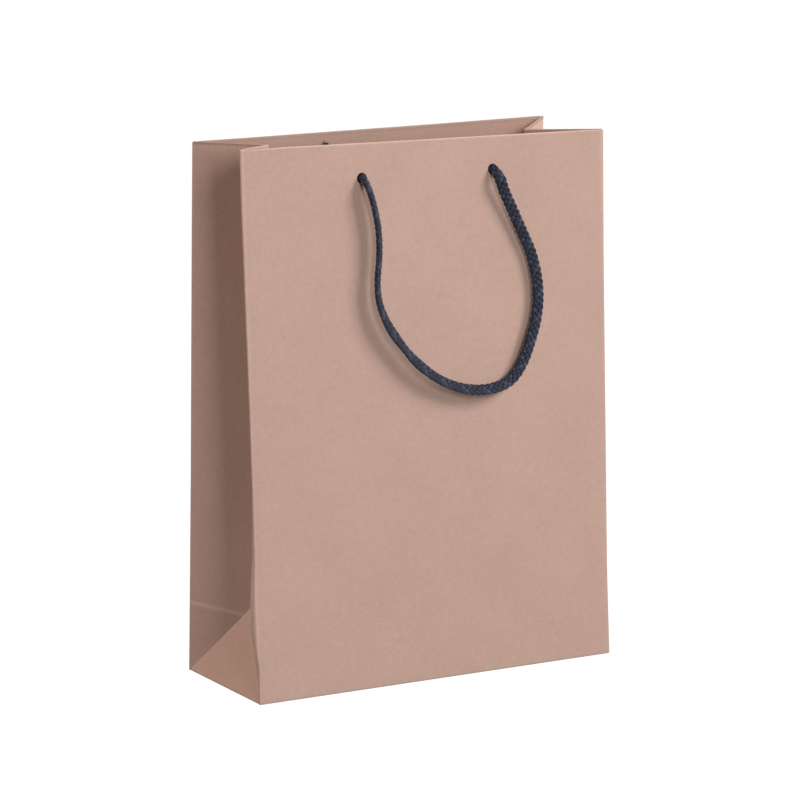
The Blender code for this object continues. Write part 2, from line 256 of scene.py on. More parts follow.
class Surface:
    """Quads and end caps gathered for one mesh, with a UV in metres for every vertex."""

    def __init__(self):
        self.points = []
        self.faces = []
        self.uvs = []
        self.count = 0

    def add(self, points, uvs):
        first = self.count
        self.points.append(np.asarray(points, float).reshape(-1, 3))
        self.uvs.append(np.asarray(uvs, float).reshape(-1, 2))
        self.count += len(self.points[-1])
        return first

    def tube(self, rings, uv_along, number):
        """A tube with capped ends: rings is [sections][sides][3]; its number shows in U."""
        sections, sides = rings.shape[:2]
        around = 0.1 + 0.8 * np.arange(sides) / sides + number
        first = self.add(rings, flat_uvs(around, uv_along))
        for r in range(sections - 1):
            a = first + r * sides
            b = a + sides
            for s in range(sides):
                n = (s + 1) % sides
                self.faces.append((a + s, a + n, b + n, b + s))
        self.faces.append(tuple(first + s for s in reversed(range(sides))))
        last = first + (sections - 1) * sides
        self.faces.append(tuple(last + s for s in range(sides)))

    def mesh(self, name):
        mesh = bpy.data.meshes.new(name)
        points = np.vstack(self.points)
        uvs = np.vstack(self.uvs)
        mesh.from_pydata(points.tolist(), [], self.faces)
        layer = mesh.uv_layers.new(name="flat")
        corners = np.zeros(len(mesh.loops), np.int32)
        mesh.loops.foreach_get("vertex_index", corners)
        layer.data.foreach_set("uv", uvs[corners].astype(np.float32).ravel())
        mesh.validate()
        mesh.update()
        return mesh


def finish_mesh(name, mesh, material, sharp_degrees=35.0):
    bm = bmesh.new()
    bm.from_mesh(mesh)
    bmesh.ops.recalc_face_normals(bm, faces=bm.faces)
    bm.to_mesh(mesh)
    bm.free()
    mesh.shade_smooth()
    mesh.set_sharp_from_angle(angle=math.radians(sharp_degrees))
    mesh.materials.clear()
    mesh.materials.append(material)
    return add_object(name, mesh)


def braid(name, path, wide, thin, material, size=1.0):
    """A braided cord of flat section: wide and thin are its section's axes along the path."""
    surface = Surface()
    along = distances(path)
    near_end = np.minimum(along, along[-1] - along)
    free = smoothstep(*SQUEEZE_SPAN, near_end)[:, None]
    half_wide = (SQUEEZED_WIDE + (ROPE_HALF_WIDE - SQUEEZED_WIDE) * free) * size
    half_thick = (SQUEEZED_THICK + (ROPE_HALF_THICK - SQUEEZED_THICK) * free) * size
    turn = 2 * math.pi * along / BRAID_PITCH
    angles = np.linspace(0, 2 * math.pi, STRAND_SIDES, endpoint=False)[None, :, None]
    for way in (1, -1):
        for strand in range(BRAID_STRANDS):
            theta = way * turn + 2 * math.pi * strand / BRAID_STRANDS
            lift = way * BRAID_RIPPLE * size * np.cos(BRAID_STRANDS * turn)
            cos, sin = np.cos(theta)[:, None], np.sin(theta)[:, None]
            out = unit(half_thick * cos * wide + half_wide * sin * thin)
            centre = path + half_wide * cos * wide + half_thick * sin * thin
            centre = centre + out * lift[:, None]
            heading = unit(np.gradient(centre, axis=0))
            across = unit(np.cross(heading, out))
            rise = np.cross(across, heading)
            rings = (centre[:, None, :]
                     + np.cos(angles) * across[:, None, :] * STRAND_HALF_WIDE * size
                     + np.sin(angles) * rise[:, None, :] * STRAND_HALF_THICK * size)
            number = 2 * strand + (1 if way > 0 else 2)
            surface.tube(rings, along + STRAND_SHIFT * strand + WAY_SHIFT * way, number)
    angles = np.linspace(0, 2 * math.pi, CORE_SIDES, endpoint=False)[None, :, None]
    rings = (path[:, None, :]
             + np.cos(angles) * wide[:, None, :] * half_wide[:, :, None] * CORE_WIDE
             + np.sin(angles) * thin[:, None, :] * half_thick[:, :, None] * CORE_THICK)
    surface.tube(rings[::3], along[::3], 0)
    return finish_mesh(name, surface.mesh(name), material, 60.0)


def rope_path(side):
    route = []
    for (x, out, height), (mirror_x, _, _) in zip(ROPE_ROUTE, reversed(ROPE_ROUTE)):
        if side == BACK:
            x = x + (-mirror_x - x) / 2 * BACK_ROPE_STRAIGHTEN
        route.append(wall(side, x, -out, height))
    return smooth_path(route, BRAID_STEP)


def make_rope(side, material):
    side_name = SIDE_NAMES[side]
    path = rope_path(side)
    outwards = np.array([0.0, side * math.cos(LEAN), math.sin(LEAN)])
    tangents, thin = carried_frames(path, len(path) // 2, outwards)
    wide = np.cross(tangents, thin)
    degrees = smoothed(np.interp(np.linspace(0, 1, len(path)), *zip(*ROPE_TWIST)),
                       TWIST_SMOOTHING)
    if side == BACK:
        degrees = degrees[::-1] * BACK_ROPE_TWIST
    twist = np.radians(degrees)[:, None]
    wide_turned = np.cos(twist) * wide + np.sin(twist) * thin
    thin_turned = np.cross(tangents, wide_turned)
    rope = braid(f"{side_name}_handle_cord", path, wide_turned, thin_turned, material)
    stands_for(f"{side_name}_handle_rope")
    start = wall(side, 0.0, *BEND_START).tolist()
    end = wall(side, 0.0, *BEND_END).tolist()
    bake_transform(rope)
    return rope, path


def knot_path(side, end):
    """An overhand knot against the wall's inner face, from the hole to the tail's cut end."""
    t = np.linspace(KNOT_OPENING, 2 * math.pi - KNOT_OPENING, 60)
    reach = KNOT_RING + KNOT_TUBE * np.cos(3 * t)
    across = reach * np.cos(2 * t - math.pi / 2)
    up = reach * np.sin(2 * t - math.pi / 2)
    inward = KNOT_DEPTH + KNOT_TUBE * np.sin(3 * t)
    x = end * HOLE_X
    # One knot is tied upside down, so its short tail stands up behind the front wall's edge
    turned_over = (side, end) == (BACK, LEFT)
    upright = -1 if turned_over else 1
    turns = wall(side, x + end * across, inward, HOLE_HEIGHT + upright * up)
    lead = wall(side, np.array([x, x, x + end * 0.0004]), np.array([-0.0012, 0.0012, 0.0030]),
                HOLE_HEIGHT - upright * np.array([0.0, 0.0002, 0.0022]))
    if turned_over:
        tail_across = np.array([-0.0034, -0.0055, -0.0070])
        tail_up = np.array([0.0052, 0.0082, 0.0108])
    else:
        tail_across = np.array([0.0006, 0.0016, 0.0022])
        tail_up = -np.array([0.0085, 0.0120, 0.0155])
    tail = wall(side, x + end * tail_across,
                KNOT_DEPTH + np.array([0.0001, -0.0005, -0.0008]), HOLE_HEIGHT + tail_up)
    return smooth_path(np.vstack([lead, turns[::4], tail]), BRAID_STEP)


def make_knot(side, end, material):
    name = f"{SIDE_NAMES[side]}_{END_NAMES[end]}"
    path = knot_path(side, end)
    inward = np.array([0.0, -side * math.cos(LEAN), -math.sin(LEAN)])
    tangents, thin = carried_frames(path, len(path) // 2, inward)
    wide = np.cross(tangents, thin)
    knot = braid(f"{name}_cord_knot", path, wide, thin, material, KNOT_SIZE)
    stands_for(f"{name}_knot")
    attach(knot, f"{SIDE_NAMES[side]}_wall")
    return knot


# ------------------------ materials

def math_node(tree, operation, first, second=None, third=None, clamp=False):
    made = tree.nodes.new("ShaderNodeMath")
    made.operation = operation
    made.use_clamp = clamp
    for slot, value in enumerate((first, second, third)):
        if isinstance(value, (int, float)):
            made.inputs[slot].default_value = value
        elif value is not None:
            tree.links.new(value, made.inputs[slot])
    return made.outputs[0]


def weighted(tree, start, *terms):
    """A starting number plus each term's output times its weight."""
    total = start
    for value, weight in terms:
        total = math_node(tree, "MULTIPLY_ADD", value, weight, total)
    return total


def flat_position(tree, on_object=False):
    """Where a point lies on its flat sheet, or on the object, in metres."""
    if on_object:
        return tree.nodes.new("ShaderNodeTexCoord").outputs["Object"]
    flat = tree.nodes.new("ShaderNodeUVMap")
    flat.uv_map = "flat"
    return flat.outputs["UV"]


def scaled(tree, vector, scale, offset=(0.0, 0.0, 0.0)):
    made = tree.nodes.new("ShaderNodeMapping")
    put(made, Scale=scale, Location=offset)
    tree.links.new(vector, made.inputs["Vector"])
    return made.outputs["Vector"]


def noise(tree, where, scale, offset, detail, rough):
    """Noise with its own number of cells per metre along each axis."""
    made = tree.nodes.new("ShaderNodeTexNoise")
    put(made, Scale=1.0, Detail=detail, Roughness=rough)
    tree.links.new(scaled(tree, where, scale, offset), made.inputs["Vector"])
    return made.outputs["Fac"]


def mix_colour(tree, factor, first, second, blend="MIX"):
    made = tree.nodes.new("ShaderNodeMix")
    made.data_type = "RGBA"
    made.blend_type = blend
    for socket, value in ((made.inputs[0], factor), (made.inputs[6], first),
                          (made.inputs[7], second)):
        if isinstance(value, (int, float)):
            socket.default_value = value
        elif isinstance(value, tuple):
            socket.default_value = (*value, 1.0)
        else:
            tree.links.new(value, socket)
    return made.outputs[2]


def new_material(name, roughness, specular):
    made = bpy.data.materials.new(name)
    made.use_nodes = True
    tree = made.node_tree
    shader = tree.nodes["Principled BSDF"]
    put(shader, Roughness=roughness, Metallic=0.0, Specular_IOR_Level=specular)
    return made, tree, shader


def add_bump(tree, shader, height, strength, distance):
    bump = tree.nodes.new("ShaderNodeBump")
    put(bump, Strength=strength, Distance=distance)
    tree.links.new(height, bump.inputs["Height"])
    tree.links.new(bump.outputs["Normal"], shader.inputs["Normal"])


def line_wear(tree, u, v, lines):
    """How close a point of the flat sheet is to any crease a*u + b*v = c, 1 on the crease."""
    worn = None
    for a, b, c, width, strength in lines:
        gap = math_node(tree, "MULTIPLY_ADD", u, a, -c)
        gap = math_node(tree, "MULTIPLY_ADD", v, b, gap)
        gap = math_node(tree, "ABSOLUTE", gap)
        near = math_node(tree, "MULTIPLY_ADD", gap, -1.0 / width, 1.0, clamp=True)
        near = math_node(tree, "MULTIPLY", near, strength)
        worn = near if worn is None else math_node(tree, "MAXIMUM", worn, near)
    return worn


KRAFT = (0.500, 0.331, 0.270)
FLECK_SHARE = 0.20
RIM_SHADE_WIDTH = 0.0016


def kraft_material(name, lines=(), shade_tint=1.0, on_object=False, rim_shade=1.0):
    """Brown kraft paper: cloudy tone, fine fibres both ways, flecks, and pale worn creases.

    Below 1, tint darkens the whole sheet and rim darkens it along its folded top edge: both are
    painted shade."""
    made, tree, shader = new_material(name, 0.82, 0.28)
    where = flat_position(tree, on_object)
    split = tree.nodes.new("ShaderNodeSeparateXYZ")
    tree.links.new(where, split.inputs[0])
    u, v = split.outputs[0], split.outputs[1]

    cloud = noise(tree, where, (34, 34, 34), (0, 0, 0), 4.0, 0.6)
    mottle = noise(tree, where, (330, 330, 330), (3, 7, 1), 5.0, 0.65)
    pulp = noise(tree, where, (950, 950, 950), (6, 1, 3), 3.0, 0.6)
    upright = noise(tree, where, (3400, 330, 900), (1, 5, 2), 2.0, 0.5)
    level = noise(tree, where, (420, 3000, 900), (8, 2, 4), 2.0, 0.5)
    grain = noise(tree, where, (2600, 2600, 2600), (0, 0, 0), 2.0, 0.7)
    tone = weighted(tree, -0.12, (cloud, 0.24), (mottle, 0.30), (pulp, 0.30), (upright, 0.17),
                    (level, 0.13), (grain, 0.10))
    dark = tuple(c * 0.66 * shade_tint for c in KRAFT)
    light = tuple(min(1.0, c * 1.33 * shade_tint) for c in KRAFT)
    colour = mix_colour(tree, tone, dark, light)
    # The tone's own hue wanders a little between pink and yellow
    hue = noise(tree, where, (140, 140, 140), (9, 4, 6), 3.0, 0.6)
    hue = math_node(tree, "MULTIPLY_ADD", hue, 2.2, -0.6, clamp=True)
    warm = mix_colour(tree, hue, (1.035, 0.985, 0.975), (0.98, 1.01, 1.01))
    colour = mix_colour(tree, 1.0, colour, warm, "MULTIPLY")

    # Dark fibre flecks, at a few of the cells' centres
    cells = tree.nodes.new("ShaderNodeTexVoronoi")
    put(cells, Scale=1.0)
    tree.links.new(scaled(tree, where, (620, 420, 500), (2, 2, 2)), cells.inputs["Vector"])
    fleck = math_node(tree, "MULTIPLY_ADD", cells.outputs["Distance"], -9.0, 1.0, clamp=True)
    chance = tree.nodes.new("ShaderNodeSeparateColor")
    tree.links.new(cells.outputs["Color"], chance.inputs[0])
    few = math_node(tree, "GREATER_THAN", chance.outputs[0], 1.0 - FLECK_SHARE)
    fleck = math_node(tree, "MULTIPLY", math_node(tree, "MULTIPLY", fleck, few), 0.42)
    colour = mix_colour(tree, fleck, colour, tuple(c * 0.45 for c in KRAFT))

    height = weighted(tree, 0.0, (upright, 0.5), (level, 0.4), (grain, 0.5), (mottle, 0.8))
    if lines:
        broken = math_node(tree, "MULTIPLY_ADD", mottle, 1.6, -0.15, clamp=True)
        worn = math_node(tree, "MULTIPLY", line_wear(tree, u, v, lines), broken)
        pale = tuple(min(1.0, c * f) for c, f in zip(KRAFT, (1.42, 1.50, 1.55)))
        colour = mix_colour(tree, worn, colour, pale)
        height = weighted(tree, height, (worn, 1.6))
    # Painted shade: the sheet darkens along its folded top edge
    if rim_shade < 1.0:
        edge = line_wear(tree, u, v, [(0, 1, HEIGHT, RIM_SHADE_WIDTH, 1.8)])
        edge = math_node(tree, "MINIMUM", edge, 1.0)
        shaded = mix_colour(tree, 1.0, colour, (rim_shade, rim_shade, rim_shade), "MULTIPLY")
        colour = mix_colour(tree, edge, colour, shaded)
    tree.links.new(colour, shader.inputs["Base Color"])
    add_bump(tree, shader, height, 0.35, 0.00012)
    tree.links.new(weighted(tree, 0.74, (mottle, 0.16)), shader.inputs["Roughness"])
    return made


def card_material(name, on_object=False):
    """Grey recycled board: cloudy pulp with dark and pale specks."""
    made, tree, shader = new_material(name, 0.9, 0.2)
    where = flat_position(tree, on_object)
    cloud = noise(tree, where, (90, 90, 90), (0, 0, 0), 4.0, 0.6)
    pulp = noise(tree, where, (1400, 1100, 1200), (0, 0, 0), 3.0, 0.65)
    specks = noise(tree, where, (700, 900, 800), (5, 3, 1), 1.0, 0.5)
    tone = weighted(tree, 0.0, (cloud, 0.45), (pulp, 0.55))
    colour = mix_colour(tree, tone, (0.27, 0.25, 0.225), (0.50, 0.465, 0.415))
    speck = math_node(tree, "MULTIPLY_ADD", specks, 9.0, -6.0, clamp=True)
    colour = mix_colour(tree, speck, colour, (0.10, 0.09, 0.085))
    tree.links.new(colour, shader.inputs["Base Color"])
    add_bump(tree, shader, pulp, 0.4, 0.0001)
    return made


def rope_material():
    """Dark navy polypropylene yarn: fine filaments along each strand, some of them paler."""
    made, tree, shader = new_material("navy_yarn", 0.62, 0.35)
    where = flat_position(tree)
    split = tree.nodes.new("ShaderNodeSeparateXYZ")
    tree.links.new(where, split.inputs[0])
    filament = noise(tree, where, (9, 260, 1), (0, 0, 0), 3.0, 0.6)
    fleck = noise(tree, where, (3, 900, 1), (4, 2, 0), 2.0, 0.5)
    tone = math_node(tree, "MULTIPLY_ADD", filament, 2.4, -0.75, clamp=True)
    colour = mix_colour(tree, tone, (0.0030, 0.0038, 0.0105), (0.0155, 0.0205, 0.0480))
    # Every third strand is spun from a paler yarn
    strand = math_node(tree, "FLOOR", split.outputs[0])
    third = math_node(tree, "MULTIPLY", strand, 1.0 / 3.0)
    third = math_node(tree, "FRACT", math_node(tree, "ADD", third, 0.01))
    paler = math_node(tree, "MULTIPLY_ADD", filament, 1.6, -0.1, clamp=True)
    paler = math_node(tree, "MULTIPLY", math_node(tree, "LESS_THAN", third, 0.2), paler)
    colour = mix_colour(tree, paler, colour, (0.038, 0.048, 0.082))
    # Pale flecks along the strands: partly the yarn's own specks, partly a painted highlight for
    # the sheen on the strands' crests.
    pale = math_node(tree, "MULTIPLY_ADD", fleck, 6.0, -3.55, clamp=True)
    pale = math_node(tree, "MULTIPLY", pale, 0.5)
    colour = mix_colour(tree, pale, colour, (0.100, 0.118, 0.165))
    # Painted shade: the core is darker than the strands, so that the gaps between them read as
    # shade.
    core = math_node(tree, "LESS_THAN", strand, 0.5)
    colour = mix_colour(tree, core, colour, (0.0035, 0.0042, 0.0085))
    tree.links.new(colour, shader.inputs["Base Color"])
    add_bump(tree, shader, filament, 0.5, 0.00012)
    tree.links.new(weighted(tree, 0.48, (fleck, 0.25)), shader.inputs["Roughness"])
    put(shader, Sheen_Weight=0.12, Sheen_Roughness=0.45, Sheen_Tint=(0.55, 0.65, 0.95, 1.0))
    return made


# ------------------------ folded paper

HEM_HEIGHT = 0.035
CARD_HEIGHT = 0.032
# How far the hem and the card strip stay from a wall's corner rolls
WALL_HEM_INSET = 0.0021
CARD_INSET = 0.006
CARD_DEPTH = PAPER + 0.00025
SEAM_DEPTH = PAPER + 0.00012
# Radii of the rolled edges and creases
WALL_TOP_RADIUS = 0.00080
GUSSET_TOP_RADIUS = 0.00048
CORNER_RADIUS = 0.00050
CREASE_RADIUS = 0.00035
BOTTOM_RADIUS = 0.00060
# The worn crease low on the sheet, from when the bag lay folded
CREASE_HEIGHT = 0.0318
# The lower triangle: its lean, half its length, how far it is tucked under, and its crown
TRIANGLE_LEAN = math.radians(22)
FLAT_HALF = 0.035
TRIANGLE_HALF = HALF_DEPTH - 0.0002
TRIANGLE_TUCK = 0.0030
TRIANGLE_CROWN = 0.0005
# How far a gusset half stays above the diagonal crease
DIAGONAL_GAP = 0.0007

# How far a gusset half is folded in, by height up the wall
GUSSET_HEIGHTS = (0.0, 0.033, 0.050, 0.065, 0.085, 0.110, 0.150, 0.200, 0.240)
GUSSET_DEGREES = (22.0, 22.4, 24.0, 26.3, 28.8, 31.0, 35.4, 41.0, 45.2)
# Samples over the height, and how many of them each curve is smoothed over
FINE_HEIGHTS = np.linspace(0, HEIGHT, 481)
FOLD_SMOOTHING = 41
BOW_SMOOTHING = 15


def fold_angle(height):
    degrees = np.interp(FINE_HEIGHTS, GUSSET_HEIGHTS, GUSSET_DEGREES)
    return np.radians(np.interp(height, FINE_HEIGHTS, smoothed(degrees, FOLD_SMOOTHING)))


# How far each corner crease stands in from the straight line between its ends: height, inset
EDGE_BOWS = {
    (FRONT, LEFT): [(0.0, 0.0), (0.008, 0.0003), (0.017, 0.0002), (0.025, -0.0014),
                    (0.032, -0.0024), (0.040, -0.0022), (0.050, -0.0012), (0.062, -0.0003),
                    (0.090, -0.0002), (0.130, -0.0004), (0.175, -0.0009), (0.215, -0.0013),
                    (0.240, -0.0013)],
    (FRONT, RIGHT): [(0.0, 0.0), (0.040, 0.0005), (0.100, 0.0001), (0.180, -0.0004),
                     (0.240, -0.0012)],
    (BACK, LEFT): [(0.0, 0.0), (0.090, 0.0004), (0.200, 0.0004), (0.240, 0.0005)],
    (BACK, RIGHT): [(0.0, 0.0), (0.075, 0.0008), (0.200, 0.0), (0.240, 0.0)],
}


def edge_bow(side, end, height):
    """How far a corner crease stands in from the straight line between its ends."""
    bow = smoothed(np.interp(FINE_HEIGHTS, *zip(*EDGE_BOWS[side, end])), BOW_SMOOTHING)
    return np.interp(height, FINE_HEIGHTS, bow * smoothstep(0.0, 0.006, FINE_HEIGHTS))


# The front left corner's rounder stretch: extra radius, its height and its spread
ROUNDER_BY = 0.0013
ROUNDER_HEIGHT = 0.034
ROUNDER_SPREAD = 0.0105
# A free-standing sheet's waves: the belly, a slow ripple and a finer one
BELLY = 0.0009
SLOW_RIPPLE = 0.00022
FINE_RIPPLE = 0.00014


def corner_radius(side, end, height):
    """The corner's roll; the front left one is rounder where the bottom's diagonal reaches it."""
    height = np.asarray(height, float)
    if (side, end) != (FRONT, LEFT):
        return np.full(height.shape, CORNER_RADIUS)
    return CORNER_RADIUS + ROUNDER_BY * np.exp(
        -((height - ROUNDER_HEIGHT) / ROUNDER_SPREAD) ** 2)


def panel_swell(side, x, height):
    """Gentle waves of a free-standing sheet, positive inward; none along its creases."""
    edge = np.cos(np.clip(x / (WIDTH / 2), -1, 1) * math.pi / 2)
    foot = smoothstep(0.0, 0.06, height)
    belly = -BELLY * edge * foot * np.sin(np.clip(height / HEIGHT, 0, 1) * math.pi)
    phase = 0.7 if side == FRONT else 2.1
    ripple = SLOW_RIPPLE * np.sin(x * 38 + phase) * np.sin(height * 26 + phase * 2)
    ripple = ripple + FINE_RIPPLE * np.sin(x * 71 - height * 33 + phase)
    return belly + ripple * edge ** 0.5 * foot


def corner_start(angle, roll):
    """How far in from the corner plane the corner roll begins."""
    return (roll + (roll - HINGE_DEPTH) * np.sin(angle)) / np.cos(angle)


CORNER_STEPS = 6
FLAT_COLUMNS = 44


def wall_rows():
    low = [0.0, 0.001, 0.003, 0.008]
    body = list(np.linspace(0.016, 0.200, 24))
    top = [0.204, 0.209, 0.214, 0.219, 0.224, 0.229, 0.234, HEIGHT - WALL_TOP_RADIUS - 0.0004]
    extra = [CREASE_HEIGHT - 0.0012, CREASE_HEIGHT, CREASE_HEIGHT + 0.0012]
    return np.array(sorted(low + body + top + extra + [HEIGHT - WALL_TOP_RADIUS]))


def wall_face(side, heights, corner_gap=0.0):
    """Outer face of a wall at rows of heights: points, outward normals and distance across.

    With a corner_gap the face stops that far short of the corner rolls, which are left off."""
    rows = []
    across_rows = []
    for height in heights:
        angle = float(fold_angle(height))
        radius, edge = {}, {}
        for end in (LEFT, RIGHT):
            radius[end] = float(corner_radius(side, end, height))
            start = corner_gap + float(corner_start(angle, radius[end]))
            edge[end] = end * (WIDTH / 2 - start - float(edge_bow(side, end, height)))
        x = np.linspace(edge[LEFT], edge[RIGHT], FLAT_COLUMNS)
        middle = wall(side, x, panel_swell(side, x, height), height)
        across = x.copy()
        if not corner_gap:
            roll = np.linspace(0, math.pi / 2 + angle, CORNER_STEPS + 1)[1:]
            rolled = {end: wall(side, edge[end] + end * radius[end] * np.sin(roll),
                                radius[end] * (1 - np.cos(roll)), height)
                      for end in (LEFT, RIGHT)}
            middle = np.vstack([rolled[LEFT][::-1], middle, rolled[RIGHT]])
            across = np.concatenate([(edge[LEFT] - radius[LEFT] * roll)[::-1], across,
                                     edge[RIGHT] + radius[RIGHT] * roll])
        rows.append(middle)
        across_rows.append(across)
    points = np.array(rows)
    return points, grid_normals(points, np.array([0.0, side, 0.0])), np.array(across_rows)


def grid_normals(points, outward_hint):
    """Normals of a grid of points, on the side that the hint points to."""
    down = np.gradient(points, axis=0)
    over = np.gradient(points, axis=1)
    normals = unit(np.cross(over, down))
    middle = normals[:, normals.shape[1] // 2]
    if float((middle @ outward_hint).mean()) < 0:
        normals = -normals
    return normals


def rolled_edge(row, normals, onward, radius, angles):
    """Rows that roll on from a sheet's edge, away from its outer face: points and normals."""
    normals = np.broadcast_to(normals, row.shape)
    radius = np.broadcast_to(radius, row.shape[:1])[:, None]
    points = [row - normals * (radius * (1 - math.cos(angle)))
              + onward * (radius * math.sin(angle)) for angle in angles]
    turned = [unit(normals * math.cos(angle) + onward * math.sin(angle)) for angle in angles]
    return np.array(points), np.array(turned)


def folded_top(face, normals, radius, angles):
    """Rows that roll over the top, on from the face's last row: points and normals."""
    return rolled_edge(face[-1], normals[-1], unit(face[-1] - face[-2]), radius, angles)


def hem_sheet(face, normals, across, heights, radius, roll):
    """A hem's grid, which rolls over a face's top and runs down behind it."""
    over, over_normals = folded_top(face, normals, radius, roll)
    behind = (face - normals * 2 * radius)[:-1][::-1]
    outer = np.concatenate([over, behind])
    all_normals = np.concatenate([over_normals, -normals[:-1][::-1]])
    v = np.concatenate([HEIGHT + radius * (roll - math.pi / 2),
                        2 * HEIGHT - heights[:-1][::-1]])
    u = np.concatenate([np.repeat(across[-1:], len(roll), axis=0), across[:-1][::-1]])
    return outer, all_normals, flat_uvs(u, v)


# How much higher the mouth stands than a level one, by depth from front to back
RAISED_RIGHT = ((0.0, 0.0), (1.0, 0.0019))
RAISED_LEFT = ((-1.0, 0.0011), (0.0, 0.0006), (1.0, 0.0))
RAISED_FROM = 0.10


def stretched(points):
    """Two corners of the mouth stand a little higher: the back right and the front left."""
    to_right = np.clip(points[..., 0] / WIDTH + 0.5, 0, 1)
    depth = points[..., 1] / MOUTH_HALF
    at_right = np.interp(depth, *zip(*RAISED_RIGHT))
    at_left = np.interp(depth, *zip(*RAISED_LEFT))
    rise = at_right * to_right ** 1.3 + at_left * (1 - to_right) ** 1.5
    rise = rise * smoothstep(RAISED_FROM, HEIGHT, points[..., 2])
    return points + rise[..., None] * np.array([0.0, 0.0, 1.0])


def add_sheet(surface, outer, normals, thickness, uvs):
    """A closed sheet: outer is its outer face's grid, and the paper lies under it."""
    rows, columns = outer.shape[:2]
    first = surface.add(stretched(outer), uvs)
    second = surface.add(stretched(outer - normals * thickness), uvs)
    add = surface.faces.append

    def top(r, c):
        return first + r * columns + c

    def under(r, c):
        return second + r * columns + c

    for r in range(rows - 1):
        for c in range(columns - 1):
            add((top(r, c), top(r, c + 1), top(r + 1, c + 1), top(r + 1, c)))
            add((under(r, c), under(r + 1, c), under(r + 1, c + 1), under(r, c + 1)))
    last = rows - 1
    for c in range(columns - 1):
        add((top(0, c + 1), top(0, c), under(0, c), under(0, c + 1)))
        add((top(last, c), top(last, c + 1), under(last, c + 1), under(last, c)))
    last = columns - 1
    for r in range(rows - 1):
        add((top(r, 0), top(r + 1, 0), under(r + 1, 0), under(r, 0)))
        add((top(r + 1, last), top(r, last), under(r, last), under(r + 1, last)))


def paper_piece(name, outer, normals, thickness, uvs, material):
    surface = Surface()
    add_sheet(surface, outer, normals, thickness, uvs)
    return finish_mesh(name, surface.mesh(name), material)


def punch(obj, side):
    """Cuts the two handle holes through a sheet on a wall."""
    cutters = []
    for end in (LEFT, RIGHT):
        bm = bmesh.new()
        bmesh.ops.create_cone(bm, segments=40, radius1=HOLE_RADIUS, radius2=HOLE_RADIUS,
                              depth=0.02, cap_ends=True)
        centre = Vector(wall(side, end * HOLE_X, 0.0, HOLE_HEIGHT).tolist())
        turn = Matrix.Rotation(math.radians(90) + side * LEAN, 4, "X")
        bmesh.ops.transform(bm, matrix=Matrix.Translation(centre) @ turn, verts=bm.verts)
        mesh = bpy.data.meshes.new("punch")
        bm.to_mesh(mesh)
        bm.free()
        cutter = add_object("punch", mesh)
        cutters.append(cutter)
        cut = obj.modifiers.new("hole", "BOOLEAN")
        cut.operation = "DIFFERENCE"
        cut.solver = "EXACT"
        cut.object = cutter
    bpy.context.view_layer.update()
    evaluated = obj.evaluated_get(bpy.context.evaluated_depsgraph_get())
    made = bpy.data.meshes.new_from_object(evaluated)
    obj.modifiers.clear()
    made.name = obj.data.name
    obj.data = made
    made.shade_smooth()
    made.set_sharp_from_angle(angle=math.radians(35))
    for cutter in cutters:
        bpy.data.objects.remove(cutter, do_unlink=True)


def make_wall(side, paper, inner_paper, card):
    side_name = SIDE_NAMES[side]
    body = f"{side_name}_wall"
    heights = wall_rows()
    face, normals, across = wall_face(side, heights)
    columns = np.arange(face.shape[1])
    from_end = np.minimum(columns, columns[::-1])
    lift = smoothstep(0, CORNER_STEPS, from_end - CORNER_STEPS)
    radii = GUSSET_TOP_RADIUS + (WALL_TOP_RADIUS - GUSSET_TOP_RADIUS) * lift
    roll = np.radians([15, 30, 45, 60, 75, 90])
    top_rows, top_normals = folded_top(face, normals, radii, roll)

    # The bottom crease rolls in under the bag
    low = np.radians([80, 60, 40, 20])
    first_up = unit(face[1] - face[0])
    low_rows, low_normals = rolled_edge(face[0] + first_up * BOTTOM_RADIUS, normals[0],
                                        -first_up, BOTTOM_RADIUS, low)
    keep = heights > BOTTOM_RADIUS
    outer = np.concatenate([low_rows, face[keep], top_rows])
    all_normals = np.concatenate([low_normals, normals[keep], top_normals])
    v = np.concatenate([BOTTOM_RADIUS * (1 - low), heights[keep],
                        heights[-1] + WALL_TOP_RADIUS * roll])
    u = np.concatenate([np.repeat(across[:1], len(low), axis=0), across[keep],
                        np.repeat(across[-1:], len(roll), axis=0)])
    panel = paper_piece(f"{side_name}_panel_paper", outer, all_normals, PAPER,
                        flat_uvs(u, v), paper)

    # The turned-in hem starts at the top of the roll and runs down the inside
    hem_heights = np.concatenate([
        np.linspace(HEIGHT - HEM_HEIGHT, HEIGHT - 0.003, 15),
        [HEIGHT - WALL_TOP_RADIUS - 0.0004, HEIGHT - WALL_TOP_RADIUS]])
    face, normals, across = wall_face(side, hem_heights, WALL_HEM_INSET)
    roll = np.radians([90, 105, 120, 135, 150, 165, 180])
    outer, all_normals, uvs = hem_sheet(face, normals, across, hem_heights, WALL_TOP_RADIUS,
                                        roll)
    hem = paper_piece(f"{side_name}_hem_paper", outer, all_normals, PAPER, uvs, inner_paper)

    # The card strip lies between the panel and its hem
    card_heights = np.linspace(HEIGHT - 0.001 - CARD_HEIGHT, HEIGHT - 0.0012, 14)
    face, normals, across = wall_face(side, card_heights, CARD_INSET)
    strip = paper_piece(f"{side_name}_card_strip", face - normals * CARD_DEPTH, normals, CARD,
                        flat_uvs(across, card_heights), card)

    for piece, cad_name, slot in ((panel, "panel", "kraft_paper"),
                                  (hem, "top_hem", "kraft_paper"),
                                  (strip, "top_card", "grey_card")):
        punch(piece, side)
        stands_for(f"{side_name}_{cad_name}")
        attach(piece, body)


GUSSET_BULGE = 0.0007


